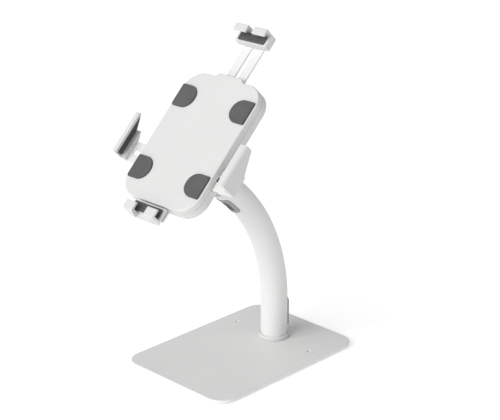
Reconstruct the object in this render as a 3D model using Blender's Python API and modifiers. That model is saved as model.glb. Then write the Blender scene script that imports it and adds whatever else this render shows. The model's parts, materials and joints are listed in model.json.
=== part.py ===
"""A countertop tablet stand: flat steel base, bent tube arm, and a holder that tilts, turns and clamps.

Lengths are in metres and +Z is up. The stand faces -Y. The origin is on the tube's axis, at the underside
of the base mat. The holder is described from the centre of the tablet's front face: x runs across the face,
y up the face, and a depth is measured from the face towards the rear, so it is minus the local z.
"""

import math
from collections import namedtuple

import bmesh
import bpy
from mathutils import Vector

MM = 0.001
GAP = 0.3 * MM
MERGE = 0.00001
FLAT_ANGLE = math.radians(0.2)

# Base
MAT_THICKNESS = 1.2 * MM
MAT_INSET = 4 * MM
BASE_LEFT, BASE_RIGHT = -80.9 * MM, 80.9 * MM
BASE_FRONT, BASE_REAR = -168.3 * MM, 58.4 * MM
BASE_THICKNESS = 4.2 * MM
BASE_CORNER = 21 * MM
BASE_BOTTOM = MAT_THICKNESS + GAP
BASE_TOP = BASE_BOTTOM + BASE_THICKNESS
ANCHOR_X, ANCHOR_Y = 59.7 * MM, -3.2 * MM
ANCHOR_RADIUS, ANCHOR_SINK_RADIUS, ANCHOR_SINK = 2.3 * MM, 2.7 * MM, 0.4 * MM
BASE_SCREW_CIRCLE = 8.5 * MM

# Arm tube: a straight foot, then one arc that leans forward
TUBE_RADIUS, TUBE_WALL = 16.1 * MM, 2 * MM
BORE_RADIUS = TUBE_RADIUS - TUBE_WALL
TUBE_SIDES = 24
BEND_START = 54.7 * MM
BEND_RADIUS = 202.6 * MM
BEND_END = math.radians(54)
BEND_STEPS = 12
END_DIRECTION = Vector((0, -math.sin(BEND_END), math.cos(BEND_END)))
COLLAR_RADIUS, COLLAR_HEIGHT = 18.5 * MM, 4.6 * MM
FOOT_HEIGHT = 8 * MM

# Cable ports: length along the tube, width across it, and how far it stands off the tube
REAR_PORT_HEIGHT = 34.8 * MM
REAR_PORT = (35.6 * MM, 20.5 * MM, 2.4 * MM)
ARM_PORT_ANGLE = math.radians(47.6)
ARM_PORT = (30 * MM, 20.5 * MM, 0.9 * MM)

# Head: fork on the tube's end, and the bracket that tilts in it
PLUG_LENGTH = 6 * MM
PIVOT_REACH = 30 * MM
EAR_INNER, EAR_OUTER, EAR_RADIUS = 8.2 * MM, 14.2 * MM, 11.5 * MM
BOLT_RADIUS = 4 * MM
BARREL_RADIUS, BARREL_HALF = 10.8 * MM, 6.6 * MM
TILT_REST = math.radians(44.43)

# Holder: places of the turning axis and of each layer behind the tablet's face
AXIS_BELOW, PIVOT_DEPTH = 38.4 * MM, 58.9 * MM
PAD_FRONT = 7.3 * MM
COVER_FRONT = 9.6 * MM
COVER_SPLIT = 17.7 * MM
COVER_REAR = 29 * MM
COVER_WALL, COVER_FLOOR = 2.2 * MM, 2.5 * MM
COVER_HALF, COVER_TOP, COVER_BOTTOM, COVER_CORNER = 57.75 * MM, 58.7 * MM, -103.7 * MM, 25 * MM
STRAP_FRONT, STRAP_REAR = 18 * MM, 20.5 * MM
CLAMP_FRONT, CLAMP_REAR = 20.8 * MM, 22.6 * MM
RETAINER_FRONT, RETAINER_REAR, RETAINER_RADIUS = 21.3 * MM, 23.4 * MM, 19 * MM
RIM_RADIUS, ROTOR_RADIUS = 22 * MM, 13.7 * MM
FLANGE_FRONT, FLANGE_REAR, FLANGE_RADIUS = 30.6 * MM, 34.6 * MM, 27 * MM
LOCK_HEIGHT = 24 * MM

# Tablet that the grips are set to, and how the grips hold it
TABLET_HALF, TABLET_TOP = 84.75 * MM, 120.0 * MM
LIP_FRONT, LIP_REAR = -3 * MM, -0.3 * MM
LINER_FRONT, LINER_REAR = PAD_FRONT, 8.4 * MM
REST_FRONT = 8.7 * MM
SIDE_ARM_HEIGHT, SIDE_ARM_HALF = -53 * MM, 13 * MM
TOP_ARM_HALF = 15 * MM
SLOT_HALF, SLOT_CORNER = 2.75 * MM, 2.6 * MM
CRADLE_HALF, CRADLE_HALF_BEHIND = 24 * MM, 18.8 * MM

FINISHES = {
    "white_steel": ((0.80, 0.80, 0.79), 0.45, 0.0),
    "white_plastic": ((0.82, 0.82, 0.81), 0.5, 0.0),
    "grey_plastic": ((0.22, 0.22, 0.23), 0.5, 0.0),
    "pad_rubber": ((0.30, 0.31, 0.32), 0.8, 0.0),
    "black_rubber": ((0.03, 0.03, 0.03), 0.85, 0.0),
    "zinc": ((0.62, 0.62, 0.63), 0.35, 1.0),
}

Screw = namedtuple("Screw", "shank length head height sunk")
BASE_SCREW = Screw(2.5 * MM, 11 * MM, 4.6 * MM, 2.2 * MM, True)
TILT_BOLT = Screw(BOLT_RADIUS, 41.7 * MM, 7 * MM, 5 * MM, False)
ROTOR_SCREW = Screw(3 * MM, 17 * MM, 5.5 * MM, 2.8 * MM, False)
HOUSING_SCREW = Screw(1.6 * MM, 14.5 * MM, 3.2 * MM, 2 * MM, False)
GUIDE_SCREW = Screw(2.2 * MM, 9.6 * MM, 4.3 * MM, 1.8 * MM, False)
CLIP_SCREW = Screw(1.4 * MM, 7 * MM, 2.6 * MM, 1.4 * MM, False)
SET_SCREW = Screw(1.9 * MM, 4.5 * MM, 1.9 * MM, 1 * MM, False)
SCREW_SIDES = 8
RECESS_SHARE = 0.45


# ---- outlines, as lists of (x, y)


def rounded(corners, steps=4):
    """The outline through (x, y) or (x, y, radius) corners, each radius an arc of so many steps."""
    points = []
    for index, corner in enumerate(corners):
        here = Vector(corner[:2])
        radius = corner[2] if len(corner) > 2 else 0
        if not radius:
            points.append(here)
            continue
        back = (Vector(corners[index - 1][:2]) - here).normalized()
        ahead = (Vector(corners[(index + 1) % len(corners)][:2]) - here).normalized()
        half = back.angle(ahead) / 2
        centre = here + (back + ahead).normalized() * radius / math.sin(half)
        first = here + back * radius / math.tan(half) - centre
        last = here + ahead * radius / math.tan(half) - centre
        start = math.atan2(first.y, first.x)
        turn = (math.atan2(last.y, last.x) - start + math.pi) % math.tau - math.pi
        for step in range(steps + 1):
            angle = start + turn * step / steps
            points.append(centre + Vector((math.cos(angle), math.sin(angle))) * radius)
    return points


def rectangle(left, bottom, right, top, radius=0, steps=4):
    corners = ((left, bottom), (right, bottom), (right, top), (left, top))
    return rounded([(x, y, radius) for x, y in corners], steps)


def circle(x, y, radius, sides=20):
    turns = [math.tau * step / sides for step in range(sides)]
    return [(x + radius * math.cos(turn), y + radius * math.sin(turn)) for turn in turns]


def mirrored(corners):
    """Corners of a right half, from its bottom up, followed by their mirror images on the left."""
    return corners + [(-corner[0], *corner[1:]) for corner in reversed(corners)]


# ---- meshes


def mesh_from_curve(curve):
    """The closed mesh of a curve, with its caps welded to its sides and each flat cap one face."""
    holder = bpy.data.objects.new(curve.name, curve)
    bpy.context.scene.collection.objects.link(holder)
    evaluated = holder.evaluated_get(bpy.context.evaluated_depsgraph_get())
    mesh = bpy.data.meshes.new_from_object(evaluated)
    bpy.data.objects.remove(holder)
    bpy.data.curves.remove(curve)
    work = bmesh.new()
    work.from_mesh(mesh)
    bmesh.ops.remove_doubles(work, verts=work.verts, dist=MERGE)
    bmesh.ops.dissolve_limit(work, angle_limit=FLAT_ANGLE, verts=work.verts, edges=work.edges)
    bmesh.ops.recalc_face_normals(work, faces=work.faces)
    work.to_mesh(mesh)
    work.free()
    mesh.shade_smooth()
    mesh.set_sharp_from_angle(angle=math.radians(40))
    return mesh


def add_spline(curve, points, cyclic):
    spline = curve.splines.new("POLY")
    spline.points.add(len(points) - 1)
    for place, point in zip(spline.points, points):
        place.co = (*point, *(0,) * (3 - len(point)), 1)
    spline.use_cyclic_u = cyclic


def slab(loops, low, high):
    """A flat piece in the xy plane from z = low to high. Loops after the first are holes."""
    curve = bpy.data.curves.new("outline", "CURVE")
    curve.dimensions = "2D"
    curve.fill_mode = "BOTH"
    curve.extrude = (high - low) / 2
    for loop in loops:
        add_spline(curve, loop, True)
    mesh = mesh_from_curve(curve)
    for vertex in mesh.vertices:
        vertex.co.z += (low + high) / 2
    return mesh


def side_slab(loops, left, right):
    """A flat piece whose outline is given in (y, z), from x = left to right."""
    mesh = slab(loops, left, right)
    for vertex in mesh.vertices:
        vertex.co = (vertex.co.z, vertex.co.x, vertex.co.y)
    return mesh


def end_slab(loops, front, rear):
    """A flat piece whose outline is given in (x, z), from y = front to rear."""
    mesh = slab(loops, -rear, -front)
    for vertex in mesh.vertices:
        vertex.co = (vertex.co.x, -vertex.co.z, vertex.co.y)
    return mesh


def rod(points, radius, sides):
    """A solid round rod along a path."""
    curve = bpy.data.curves.new("path", "CURVE")
    curve.dimensions = "3D"
    curve.bevel_depth = radius
    curve.bevel_resolution = sides // 2 - 2
    curve.use_fill_caps = True
    add_spline(curve, points, False)
    return mesh_from_curve(curve)


def profile(points, closed=False):
    """The (radius, z) profile of a turned piece, running down its outer side."""
    mesh = bpy.data.meshes.new("profile")
    edges = [(index, index + 1) for index in range(len(points) - 1)]
    if closed:
        edges.append((len(points) - 1, 0))
    mesh.from_pydata([(radius, 0, z) for radius, z in points], edges, [])
    return mesh


def ring_profile(inner, outer, low, high):
    """The profile of a flat ring."""
    return profile([(inner, high), (outer, high), (outer, low), (inner, low)], closed=True)


def screw_profile(size, grow=0.0, open_above=0.0, recess=True):
    """A screw whose head faces +z at z = 0, or with grow and open_above the hole that it needs."""
    neck = -size.height if size.sunk else -size.height - grow
    points = [
        (0, open_above),
        (size.head + grow, open_above),
        (size.head + grow, 0),
        (size.shank + grow, neck),
        (size.shank + grow, -size.length - grow),
        (0, -size.length - grow),
    ]
    if not size.sunk:
        points.insert(3, (size.head + grow, neck))
    if not open_above:
        points.pop(1)
    if recess:
        socket, deep = size.head * RECESS_SHARE, -0.6 * size.height
        points[:1] = [(0, deep), (socket, deep), (socket, 0)]
    return profile(points)


# ---- objects


def frame(name, parent=None, location=(0, 0, 0), turn=0.0):
    """An empty that pieces are placed in, turned about x."""
    empty = bpy.data.objects.new(name, None)
    empty.parent = parent
    empty.location = location
    empty.rotation_euler = (turn, 0, 0)
    empty.empty_display_size = 10 * MM
    frames.objects.link(empty)
    return empty


def place(name, mesh, collection, parent, location, turn):
    thing = bpy.data.objects.new(name, mesh)
    thing.parent = parent
    thing.location = location
    thing.rotation_euler = turn
    collection.objects.link(thing)
    return thing


def piece(name, mesh, parent, finish, location=(0, 0, 0), turn=(0, 0, 0)):
    """A sub-part of the stand with a material of its own."""
    thing = place(name, mesh, stand, parent, location, turn)
    colour, roughness, metallic = FINISHES[finish]
    material = bpy.data.materials.new(name)
    material.use_nodes = True
    shader = material.node_tree.nodes["Principled BSDF"]
    shader.inputs["Base Color"].default_value = (*colour, 1)
    shader.inputs["Roughness"].default_value = roughness
    shader.inputs["Metallic"].default_value = metallic
    thing.data.materials.clear()
    thing.data.materials.append(material)
    return thing


def cutter(mesh, parent, location=(0, 0, 0), turn=(0, 0, 0)):
    tool = place("cutter", mesh, cutters, parent, location, turn)
    tool.hide_render = True
    tool.display_type = "WIRE"
    return tool


def spin(thing, sides):
    """Turns a profile into a solid."""
    turn = thing.modifiers.new("turn", "SCREW")
    turn.steps = sides
    turn.render_steps = sides
    turn.use_merge_vertices = True
    turn.merge_threshold = MERGE
    return thing


def combine(thing, tool, operation="DIFFERENCE"):
    step = thing.modifiers.new(operation.lower(), "BOOLEAN")
    step.operation = operation
    step.solver = "EXACT"
    step.object = tool


def round_rims(thing, heights, width, segments=2):
    """Rounds the rims of a slab's flat faces that lie at these heights."""
    work = bmesh.new()
    work.from_mesh(thing.data)
    weight = work.edges.layers.float.new("bevel_weight_edge")
    for edge in work.edges:
        ends = [vertex.co.z for vertex in edge.verts]
        level = any(max(abs(end - height) for end in ends) < MERGE for height in heights)
        if level and edge.calc_face_angle(0) > 1:
            edge[weight] = 1
    work.to_mesh(thing.data)
    work.free()
    soften = thing.modifiers.new("rim", "BEVEL")
    soften.limit_method = "WEIGHT"
    soften.width = width
    soften.segments = segments


def add_screw(name, size, parent, location, turn=(0, 0, 0), through=(), open_above=MM):
    """A screw, and its hole in each piece that it goes through."""
    screw = piece(name, screw_profile(size), parent, "zinc", location, turn)
    spin(screw, SCREW_SIDES)
    hole = cutter(screw_profile(size, GAP, open_above, recess=False), parent, location, turn)
    spin(hole, SCREW_SIDES)
    for thing in through:
        combine(thing, hole)
    return screw


REARWARD = (math.pi, 0, 0)


def arm_point(angle, out=0.0):
    """A point of the arm by its angle along the bend, out from the centreline on the convex side."""
    radius = BEND_RADIUS + out
    return Vector((0, radius * math.cos(angle) - BEND_RADIUS, BEND_START + radius * math.sin(angle)))


def arm_path(before=0.0, beyond=0.0):
    """The tube's centreline, made longer by so much at the foot and at the end."""
    end = arm_point(BEND_END)
    points = [Vector((0, 0, BASE_TOP + GAP - before))]
    points += [arm_point(BEND_END * step / BEND_STEPS) for step in range(BEND_STEPS)]
    points += [end - END_DIRECTION * MM, end + END_DIRECTION * beyond]
    return points


# ---- base and arm


def make_base():
    anchors = [(side * ANCHOR_X, ANCHOR_Y) for side in (-1, 1)]
    inset = MAT_INSET
    mat = [rectangle(BASE_LEFT + inset, BASE_FRONT + inset, BASE_RIGHT - inset, BASE_REAR - inset,
                     BASE_CORNER - inset)]
    mat += [circle(x, y, 2 * ANCHOR_RADIUS, 16) for x, y in anchors]
    piece("base_mat", slab(mat, 0, MAT_THICKNESS), None, "black_rubber")

    outline = rectangle(BASE_LEFT, BASE_FRONT, BASE_RIGHT, BASE_REAR, BASE_CORNER, 6)
    plate = piece("base_plate", slab([outline], BASE_BOTTOM, BASE_TOP), None, "white_steel")
    round_rims(plate, (BASE_BOTTOM, BASE_TOP), 0.7 * MM)
    anchor = Screw(ANCHOR_RADIUS, BASE_THICKNESS + MM, ANCHOR_SINK_RADIUS, ANCHOR_SINK, True)
    for x, y in anchors:
        combine(plate, spin(cutter(screw_profile(anchor, 0, MM, False), None, (x, y, BASE_TOP)), 16))

    foot = piece("tube_foot", profile([
        (0, BASE_TOP + GAP + FOOT_HEIGHT), (BORE_RADIUS - GAP, BASE_TOP + GAP + FOOT_HEIGHT),
        (BORE_RADIUS - GAP, BASE_TOP + GAP), (0, BASE_TOP + GAP)]), None, "zinc")
    spin(foot, TUBE_SIDES)
    for number in range(3):
        turn = math.radians(90 + 120 * number)
        spot = (BASE_SCREW_CIRCLE * math.cos(turn), BASE_SCREW_CIRCLE * math.sin(turn), BASE_BOTTOM + GAP)
        add_screw(f"base_screw_{number + 1}", BASE_SCREW, None, spot, REARWARD, (plate, foot))

    low, high = BASE_TOP + GAP, BASE_TOP + GAP + COLLAR_HEIGHT
    inner, edge = TUBE_RADIUS + GAP, 1.2 * MM
    collar = piece("base_collar", profile([
        (inner, high), (COLLAR_RADIUS - edge, high), (COLLAR_RADIUS - 0.35 * edge, high - 0.35 * edge),
        (COLLAR_RADIUS, high - edge), (COLLAR_RADIUS, low), (inner, low)], True), None, "white_plastic")
    spin(collar, 28)


def add_cable_port(name, at, size, tube):
    """A cable port clipped into a slot in the tube: a saddle outside, and a neck through the wall."""
    length, width, proud = size
    deep, clear = -7 * MM, 5 * MM

    def block(margin_long, margin_wide, low, high, radius):
        long, wide = length / 2 - margin_long, width / 2 - margin_wide
        return slab([rectangle(-wide, -long, wide, long, radius)], low, high)

    port = piece(name, block(0, 0, deep, clear, 4.5 * MM), at, "grey_plastic")
    combine(port, cutter(rod(arm_path(), TUBE_RADIUS + GAP, 2 * TUBE_SIDES), None))
    combine(port, cutter(block(3 * MM, 2.5 * MM, deep, proud / 2, 3.5 * MM), at), "UNION")
    combine(port, cutter(rod(arm_path(), TUBE_RADIUS + proud, 2 * TUBE_SIDES), None), "INTERSECT")
    combine(port, cutter(block(5 * MM, 4.5 * MM, deep - MM, clear, 2.5 * MM), at))
    opening = block(3 * MM - GAP, 2.5 * MM - GAP, deep - 2 * MM, clear, 3.5 * MM + GAP)
    combine(tube, cutter(opening, at))


def make_arm():
    tube = piece("arm_tube", rod(arm_path(), TUBE_RADIUS, TUBE_SIDES), None, "white_steel")
    combine(tube, cutter(rod(arm_path(5 * MM, 5 * MM), BORE_RADIUS, TUBE_SIDES), None))
    rear = frame("rear_port", None, (0, TUBE_RADIUS, REAR_PORT_HEIGHT), -math.pi / 2)
    add_cable_port("rear_cable_outlet", rear, REAR_PORT, tube)
    under = frame("arm_port", None, arm_point(ARM_PORT_ANGLE, -TUBE_RADIUS), ARM_PORT_ANGLE + math.pi / 2)
    add_cable_port("arm_cable_inlet", under, ARM_PORT, tube)
    return tube


def make_head(tube, arm_end):
    """The fork in the tube's end, with the tilt bolt. Local z runs along the tube, out of its end."""
    plug = BORE_RADIUS - 2 * GAP
    head = piece("arm_head", profile([
        (0, 3.5 * MM), (TUBE_RADIUS - 0.8 * MM, 3.5 * MM), (TUBE_RADIUS, 2.7 * MM), (TUBE_RADIUS, GAP),
        (plug, GAP), (plug, -PLUG_LENGTH), (0, -PLUG_LENGTH)]), arm_end, "white_steel")
    spin(head, TUBE_SIDES)
    top = PIVOT_REACH + EAR_RADIUS
    ear = rounded([(-12.5 * MM, 2 * MM), (12.5 * MM, 2 * MM), (EAR_RADIUS, top, EAR_RADIUS * 0.98),
                   (-EAR_RADIUS, top, EAR_RADIUS * 0.98)], 5)
    for side in (-1, 1):
        low, high = sorted((side * EAR_INNER, side * EAR_OUTER))
        combine(head, cutter(side_slab([ear], low, high), arm_end), "UNION")

    bolt_spot = (-EAR_OUTER - GAP - TILT_BOLT.height, 0, PIVOT_REACH)
    add_screw("tilt_bolt", TILT_BOLT, arm_end, bolt_spot, (0, -math.pi / 2, 0), (head,))
    bore = circle(0, PIVOT_REACH, BOLT_RADIUS + GAP)
    nut = [circle(0, PIVOT_REACH, 7.5 * MM, 6), bore]
    piece("tilt_nut", side_slab(nut, EAR_OUTER + GAP, EAR_OUTER + GAP + 6 * MM), arm_end, "zinc")
    washer = [circle(0, PIVOT_REACH, 10.5 * MM), bore]
    for name, side in (("left", -1), ("right", 1)):
        low, high = sorted((side * (BARREL_HALF + GAP), side * (EAR_INNER - GAP)))
        piece(f"tilt_washer_{name}", side_slab(washer, low, high), arm_end, "black_rubber")
    add_screw("arm_head_screw", SET_SCREW, arm_end, (0, TUBE_RADIUS - GAP, -PLUG_LENGTH / 2),
              (-math.pi / 2, 0, 0), (head, tube))


def make_tilt_bracket(tilt):
    """The bracket that tilts on the bolt, with the flange and spindle that the holder turns on."""
    front, rear = PIVOT_DEPTH - FLANGE_FRONT, PIVOT_DEPTH - FLANGE_REAR
    spindle = PIVOT_DEPTH - RETAINER_REAR - GAP
    bracket = piece("tilt_bracket", profile([
        (0, spindle), (ROTOR_RADIUS, spindle), (ROTOR_RADIUS, front), (FLANGE_RADIUS - MM, front),
        (FLANGE_RADIUS, front - MM), (FLANGE_RADIUS, rear + MM), (FLANGE_RADIUS - MM, rear), (0, rear)]),
        tilt, "white_steel")
    spin(bracket, 24)
    radius = BARREL_RADIUS
    web = rounded([(17 * MM, rear + MM), (-17 * MM, rear + MM), (-radius, -radius, radius * 0.98),
                   (radius, -radius, radius * 0.98)], 5)
    combine(bracket, cutter(side_slab([web], -BARREL_HALF, BARREL_HALF), tilt), "UNION")
    combine(bracket, cutter(side_slab([circle(0, 0, BOLT_RADIUS + GAP)], -20 * MM, 20 * MM), tilt))

    def at_depth(depth):
        return PIVOT_DEPTH - depth

    washer = ring_profile(ROTOR_RADIUS + GAP, RIM_RADIUS + 4 * MM, at_depth(30.3 * MM), at_depth(29.3 * MM))
    spin(piece("rotor_washer", washer, tilt, "black_rubber"), 20)
    retainer = piece("rotor_retainer", profile([
        (0, at_depth(RETAINER_FRONT)), (RETAINER_RADIUS, at_depth(RETAINER_FRONT)),
        (RETAINER_RADIUS, at_depth(RETAINER_REAR)), (0, at_depth(RETAINER_REAR))]), tilt, "zinc")
    spin(retainer, 20)
    top = at_depth(RETAINER_FRONT - GAP - ROTOR_SCREW.height)
    add_screw("rotor_screw", ROTOR_SCREW, tilt, (0, 0, top), through=(retainer, bracket))


# ---- holder


def panel(loops, front, rear):
    """A flat piece of the holder, between two depths behind the tablet's face."""
    return slab(loops, -rear, -front)


def cover_panel(inset, front, rear):
    """A panel of the housing's outline, or of that outline moved inwards."""
    return panel([rectangle(-COVER_HALF + inset, COVER_BOTTOM + inset, COVER_HALF - inset, COVER_TOP - inset,
                            COVER_CORNER - inset, 5)], front, rear)


def mouthed_outline():
    """The housing's outline, with a short mouth round the top arm."""
    mouth = 63.2 * MM
    return rounded(mirrored([
        (COVER_HALF, COVER_BOTTOM, COVER_CORNER), (COVER_HALF, COVER_TOP, COVER_CORNER),
        (21.5 * MM, COVER_TOP, 3 * MM), (17.5 * MM, mouth, 2 * MM)]), 5)


SIDES = {"left": -1, "right": 1}
PAD_HEIGHTS = {"upper": 25 * MM, "lower": -70 * MM}
PAD_INNER, PAD_OUTER, PAD_RADIUS = 28.9 * MM, 55.6 * MM, 14 * MM
HOUSING_SCREWS = [(x * MM, y * MM) for x in (-43, 43) for y in (-88.5, 44)]
GUIDE_SCREWS = {"top": (0, 50 * MM), "left": (-48 * MM, SIDE_ARM_HEIGHT), "right": (48 * MM, SIDE_ARM_HEIGHT)}
BRACKET_SCREWS = {"left": (-9 * MM, -92 * MM), "right": (9 * MM, -92 * MM)}


def add_bosses(cover, holder, spots, radius, front, rear):
    for x, y in spots:
        combine(cover, cutter(panel([circle(x, y, radius, 10)], front, rear), holder), "UNION")


def pad_outline(side, height, grow=0.0):
    """A pad with its straight end out and a round end in, or the larger pocket that it sits in."""
    inner, outer, curve = PAD_INNER - grow, PAD_OUTER + grow, PAD_RADIUS + grow - 0.5 * MM
    low, high = height - PAD_RADIUS - grow, height + PAD_RADIUS + grow
    return rounded([(side * inner, low, curve), (side * outer, low, 2 * MM),
                    (side * outer, high, 2 * MM), (side * inner, high, curve)], 5)


def make_front_cover(holder):
    cover = piece("front_cover", panel([mouthed_outline()], COVER_FRONT, COVER_SPLIT - GAP), holder,
                  "white_plastic")
    round_rims(cover, (-COVER_FRONT,), 1.6 * MM)
    inside = COVER_FRONT + COVER_WALL
    combine(cover, cutter(cover_panel(COVER_WALL, inside, 25 * MM), holder))
    spots = HOUSING_SCREWS + list(GUIDE_SCREWS.values()) + list(BRACKET_SCREWS.values())
    add_bosses(cover, holder, spots, 4.2 * MM, inside - MM, COVER_SPLIT - GAP)

    pocket = COVER_FRONT + 0.6 * MM
    for row, height in PAD_HEIGHTS.items():
        for name, side in SIDES.items():
            combine(cover, cutter(panel([pad_outline(side, height, GAP)], 5 * MM, pocket), holder))
            pad = piece(f"pad_{row}_{name}", panel([pad_outline(side, height)], PAD_FRONT, pocket - GAP),
                        holder, "pad_rubber")
            round_rims(pad, (-PAD_FRONT,), 0.6 * MM, 1)
    return cover


def make_rear_cover(holder):
    cover = piece("rear_cover", cover_panel(0, COVER_SPLIT, COVER_REAR), holder, "white_plastic")
    round_rims(cover, (-COVER_REAR,), 3 * MM, 3)
    inside = COVER_REAR - COVER_FLOOR
    combine(cover, cutter(cover_panel(COVER_WALL, 10 * MM, inside), holder))
    add_bosses(cover, holder, HOUSING_SCREWS, 4.6 * MM, COVER_SPLIT, inside + MM)
    rim = panel([circle(0, -AXIS_BELOW, RIM_RADIUS, 24)], RETAINER_REAR + GAP, inside + MM)
    combine(cover, cutter(rim, holder), "UNION")
    bore = panel([circle(0, -AXIS_BELOW, ROTOR_RADIUS + GAP, 24)], 10 * MM, 40 * MM)
    combine(cover, cutter(bore, holder))
    side = SIDE_ARM_HALF + 0.5 * MM
    notches = [
        (-TOP_ARM_HALF - 0.5 * MM, 40 * MM, TOP_ARM_HALF + 0.5 * MM, 80 * MM),
        (-70 * MM, SIDE_ARM_HEIGHT - side, -50 * MM, SIDE_ARM_HEIGHT + side),
        (50 * MM, SIDE_ARM_HEIGHT - side, 70 * MM, SIDE_ARM_HEIGHT + side),
        (-20.5 * MM, -120 * MM, 20.5 * MM, -95 * MM),
    ]
    for notch in notches:
        combine(cover, cutter(panel([rectangle(*notch)], 10 * MM, STRAP_REAR + 0.4 * MM), holder))
    return cover


def make_lock(holder, rear_cover):
    """The key lock in the rear cover. The plug and its cam turn about the lock's axis."""
    body = piece("lock_body", panel([circle(0, LOCK_HEIGHT, 9.6 * MM), circle(0, LOCK_HEIGHT, 5.6 * MM)],
                                    COVER_REAR + GAP, COVER_REAR + 2 * MM), holder, "zinc")
    barrel = [circle(0, LOCK_HEIGHT, 8 * MM), circle(0, LOCK_HEIGHT, 5.6 * MM)]
    combine(body, cutter(panel(barrel, 25.8 * MM, COVER_REAR + MM), holder), "UNION")
    hole = panel([circle(0, LOCK_HEIGHT, 8 * MM + GAP)], 20 * MM, 40 * MM)
    combine(rear_cover, cutter(hole, holder))

    axis = frame("lock_axis", holder, (0, LOCK_HEIGHT, 0))
    plug = piece("lock_plug", panel([circle(0, 0, 5.3 * MM)], 25.5 * MM, COVER_REAR + 2.4 * MM), axis, "zinc")
    keyway = rectangle(-0.7 * MM, -3.4 * MM, 0.7 * MM, 3.4 * MM)
    combine(plug, cutter(panel([keyway], COVER_REAR, 40 * MM), axis))
    cam = rounded([(-6.5 * MM, -6.5 * MM, 5 * MM), (6.5 * MM, -6.5 * MM, 5 * MM),
                   (4 * MM, 11 * MM, 3.5 * MM), (-4 * MM, 11 * MM, 3.5 * MM)])
    piece("lock_cam", panel([cam], 23.9 * MM, 25.2 * MM), axis, "zinc")

    shape = mirrored([
        (8, -14), (26, -36), (26, -64), (41, -64), (41, -34), (18, 0), (18, 42)])
    loop = rounded([(x * MM, y * MM, 2.5 * MM) for x, y in shape])
    piece("clamp_plate", panel([loop], CLAMP_FRONT, CLAMP_REAR), holder, "zinc")


def hook_section(edge, lip, proud, outer, bulge):
    """Section of a hook in (height, z) for an arm that points up: lip, wall over the edge, rest behind it."""
    deep, shelf = COVER_SPLIT, edge - 14.5 * MM
    return [
        (lip, -LIP_REAR), (lip, proud, 0.8 * MM), (outer, proud, 1.4 * MM),
        (outer + bulge, -8 * MM, 6 * MM), (outer, -deep, 1.5 * MM), (shelf, -deep, 1 * MM),
        (shelf, -REST_FRONT), (edge, -REST_FRONT), (edge, -LIP_REAR)]


def make_top_arm(holder):
    """The arm that slides up and down, with the clip that holds the tablet's top edge."""
    arm = frame("top_arm_slide", holder)
    half, tail = TOP_ARM_HALF, 14 * MM
    blank = rectangle(-half, tail, half, TABLET_TOP - MM, 2 * MM)
    slot = rectangle(-SLOT_HALF, 22 * MM, SLOT_HALF, 106 * MM, SLOT_CORNER)
    strap = piece("top_strap", panel([blank, slot], STRAP_FRONT, STRAP_REAR), arm, "white_steel")
    edge = TABLET_TOP + 0.3 * MM
    section = rounded(hook_section(edge, 113.2 * MM, -LIP_FRONT, edge + 2 * MM, 0.01 * MM), 3)
    clip = piece("top_clip", side_slab([section], -23.6 * MM, 23.6 * MM), arm, "white_plastic")
    gap = panel([rectangle(-4.65 * MM, 100 * MM, 4.65 * MM, 130 * MM)], -5 * MM, REST_FRONT)
    combine(clip, cutter(gap, arm))
    liner = rectangle(-20 * MM, 107.5 * MM, 20 * MM, 118 * MM, 2 * MM)
    piece("top_liner", panel([liner], LINER_FRONT, LINER_REAR), arm, "pad_rubber")
    for name, side in SIDES.items():
        spot = (side * 9 * MM, 112.5 * MM, -STRAP_REAR - GAP - CLIP_SCREW.height)
        add_screw(f"top_clip_screw_{name}", CLIP_SCREW, arm, spot, REARWARD, (strap, clip))


def make_bottom_cradle(holder):
    """The fixed cradle under the tablet's bottom edge, open in the middle for a charging plug."""
    low = -TABLET_TOP + 2 * MM
    bracket = piece("bottom_bracket", panel([rectangle(-20 * MM, low, 20 * MM, -84 * MM, 2 * MM)],
                                            STRAP_FRONT, STRAP_REAR), holder, "white_steel")
    edge = -TABLET_TOP - 0.3 * MM
    section = rounded([(-height, *rest) for height, *rest in hook_section(
        -edge, 112.2 * MM, 2.2 * MM, -edge + 3 * MM, 2.5 * MM)], 3)
    cradle = piece("bottom_cradle", side_slab([section], -CRADLE_HALF, CRADLE_HALF), holder, "white_plastic")
    chin = rounded(mirrored([(11 * MM, -127 * MM, 20 * MM), (CRADLE_HALF, -122.5 * MM, 4 * MM),
                             (CRADLE_HALF, -95 * MM)]), 6)
    combine(cradle, cutter(panel([chin], -10 * MM, 30 * MM), holder), "INTERSECT")
    plan = mirrored([(CRADLE_HALF_BEHIND, -COVER_SPLIT - MM), (CRADLE_HALF_BEHIND, -COVER_SPLIT),
                     (CRADLE_HALF, -11 * MM), (CRADLE_HALF, 10 * MM)])
    combine(cradle, cutter(end_slab([plan], -140 * MM, -80 * MM), holder), "INTERSECT")
    gap = panel([rectangle(-9 * MM, -135 * MM, 9 * MM, -100 * MM)], -5 * MM, REST_FRONT)
    combine(cradle, cutter(gap, holder))
    liner = rectangle(-22 * MM, -118 * MM, 22 * MM, -107.5 * MM, 2 * MM)
    piece("bottom_liner", panel([liner], LINER_FRONT, LINER_REAR), holder, "pad_rubber")
    for name, side in SIDES.items():
        spot = (side * 14 * MM, -112 * MM, -STRAP_REAR - GAP - CLIP_SCREW.height)
        add_screw(f"bottom_cradle_screw_{name}", CLIP_SCREW, holder, spot, REARWARD, (bracket, cradle))
    return bracket


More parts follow.
